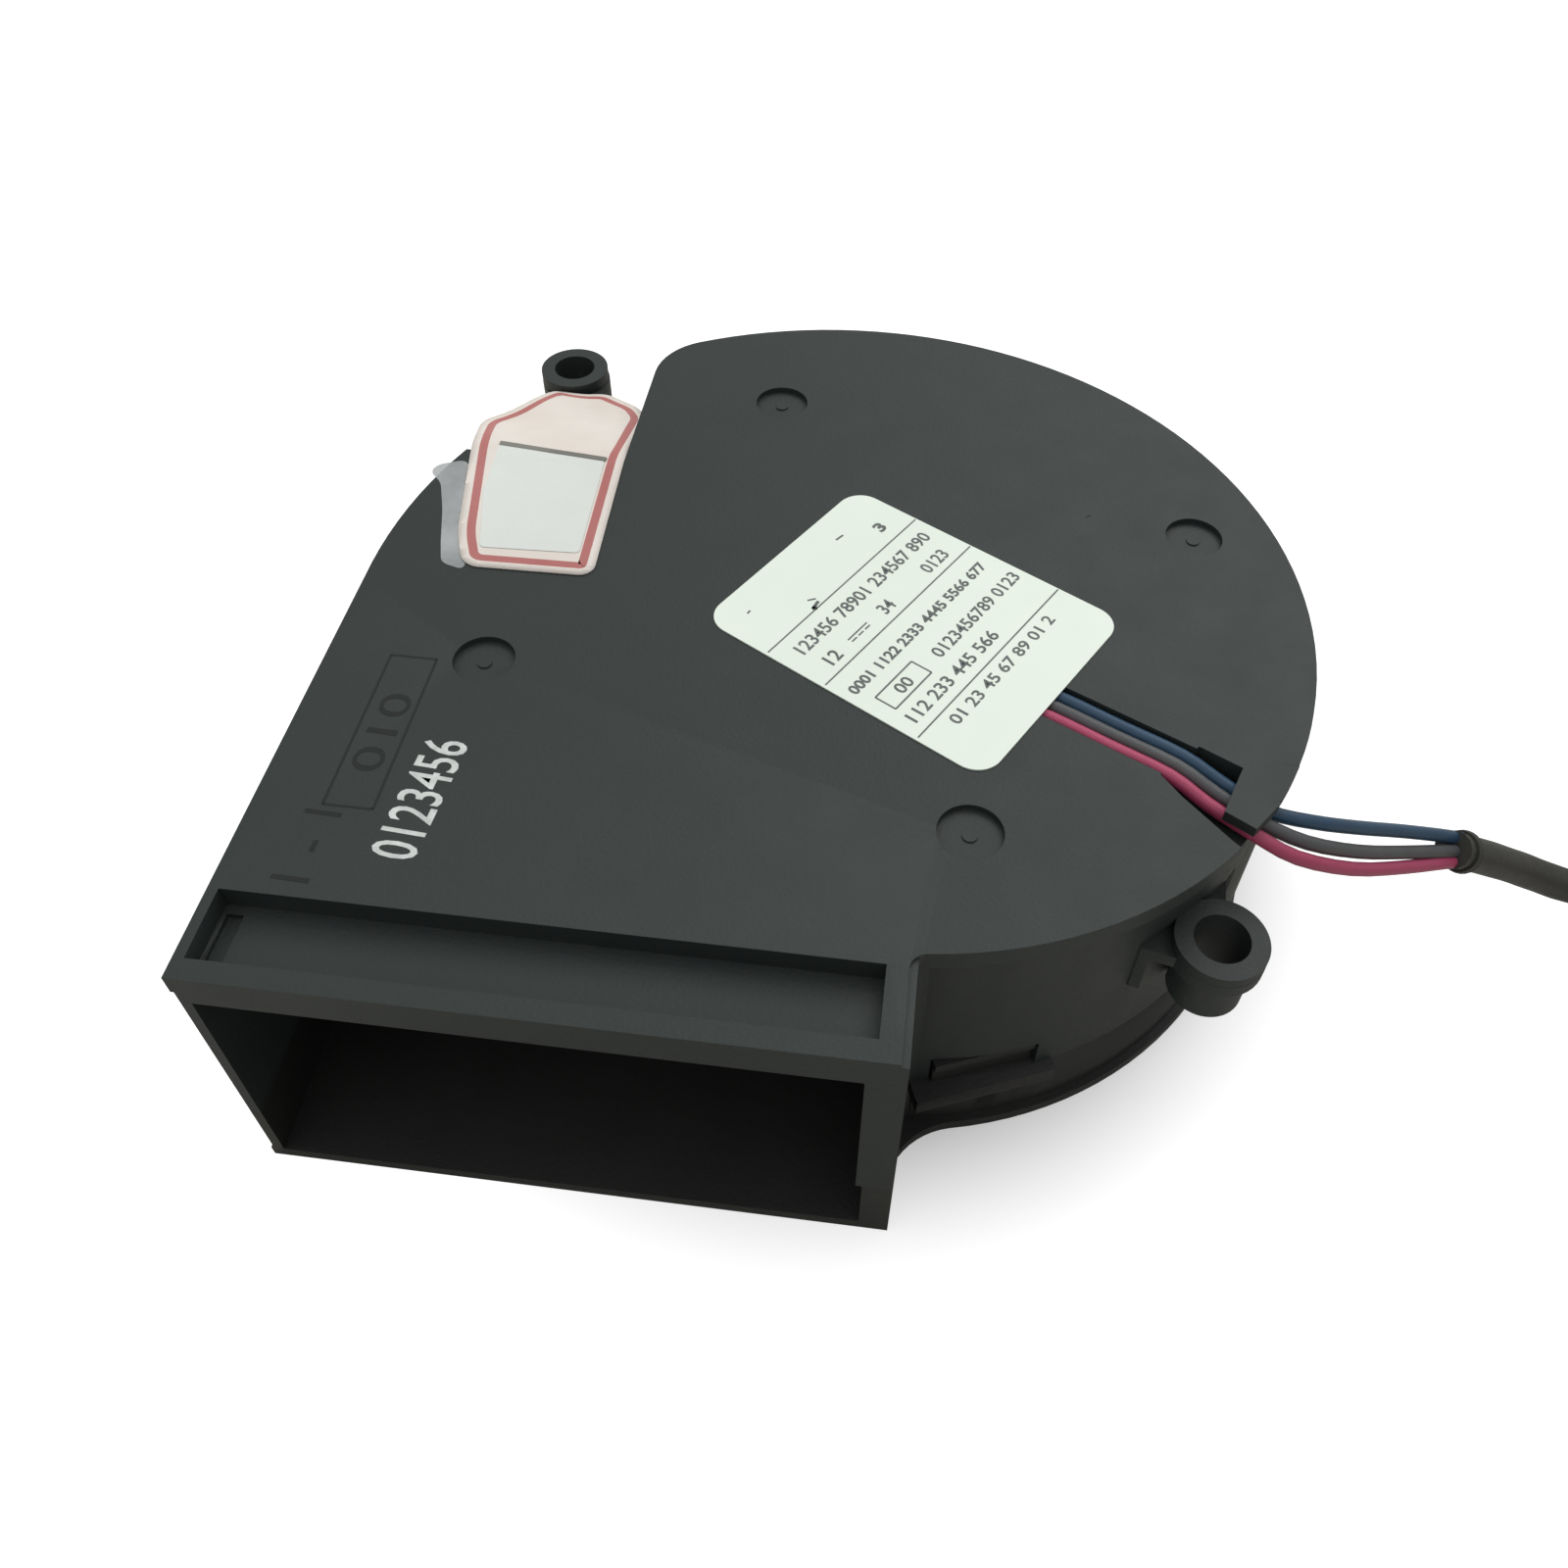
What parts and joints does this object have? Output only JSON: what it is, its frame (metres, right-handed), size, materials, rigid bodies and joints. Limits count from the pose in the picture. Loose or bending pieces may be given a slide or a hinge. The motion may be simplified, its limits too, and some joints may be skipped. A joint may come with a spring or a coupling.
{
  "type": "dc blower fan",
  "caption": "Flat scroll-shaped centrifugal blower with a rectangular outlet, round inlet, drum impeller, two mounting ears and sleeved leads with a small plug.",
  "frame": {"origin": "rotor axis where it meets the base plane, which is the centre of the inlet opening", "axes": "+Z from the base up to the label face along the rotor axis, -Y out of the air outlet, +X towards the side where the leads leave"},
  "size_m": [0.1863, 0.1008, 0.0332],
  "materials": {
    "housing_plastic": "fine matt moulded texture",
    "cover_plastic": "fine matt moulded texture",
    "impeller_plastic": "satin moulded",
    "yoke_steel": "zinc plated",
    "magnet": "dull moulded ferrite",
    "bearing_steel": "ground",
    "spring_steel": "bright",
    "clip_steel": "bright",
    "washer_plastic": "smooth",
    "ball_steel": "polished",
    "tube_brass": "turned",
    "core_steel": "stamped laminations",
    "bobbin_plastic": "smooth",
    "winding_wire": "enamelled copper wire",
    "board": "solder mask",
    "chip_plastic": "moulded",
    "capacitor_sleeve": "shrink sleeve",
    "label_film": "satin printed film",
    "sticker_paper": "coated paper",
    "blue_insulation": "smooth PVC",
    "grey_insulation": "smooth PVC",
    "red_insulation": "smooth PVC",
    "sleeve_rubber": "shrink sleeve",
    "tail_insulation": "smooth PVC",
    "connector_plastic": "natural nylon",
    "terminal_metal": "tin plated"
  },
  "bodies": {
    "frame": {"housing": "housing_plastic", "inlet_cover": "cover_plastic", "lower_outer_ring": "bearing_steel", "upper_outer_ring": "bearing_steel", "bearing_tube": "tube_brass", "stator_core": "core_steel", "lower_insulator": "bobbin_plastic", "upper_insulator": "bobbin_plastic", "windings": "winding_wire", "circuit_board": "board", "hall_sensor": "chip_plastic", "driver_chip": "chip_plastic", "capacitor": "capacitor_sleeve", "label": "label_film", "ear_sticker": "sticker_paper", "lead_blue": "blue_insulation", "lead_grey": "grey_insulation", "lead_red": "red_insulation", "sleeve": "sleeve_rubber", "sleeve_tie": "sleeve_rubber", "sleeve_coil": "sleeve_rubber", "lead_tails": "tail_insulation", "connector": "connector_plastic", "terminals": "terminal_metal"},
    "rotor": {"impeller": "impeller_plastic", "rotor_yoke": "yoke_steel", "magnet_ring": "magnet", "shaft": "bearing_steel", "preload_spring": "spring_steel", "retaining_clip": "clip_steel", "thrust_washer": "washer_plastic", "lower_inner_ring": "bearing_steel", "upper_inner_ring": "bearing_steel"},
    "ball_cages": {"lower_balls": "ball_steel", "upper_balls": "ball_steel"}
  },
  "joints": [
    {"name": "rotor_spin", "type": "hinge", "parent": "frame", "child": "rotor", "pos_m": [0, 0, 0.018], "axis": [0, 0, 1], "continuous": true},
    {"name": "ball_orbit", "type": "hinge", "parent": "frame", "child": "ball_cages", "pos_m": [0, 0, 0.018], "axis": [0, 0, 1], "continuous": true}
  ],
  "couplings": [
    {"joint": "ball_orbit", "follows": "rotor_spin", "ratio": 0.39}
  ]
}
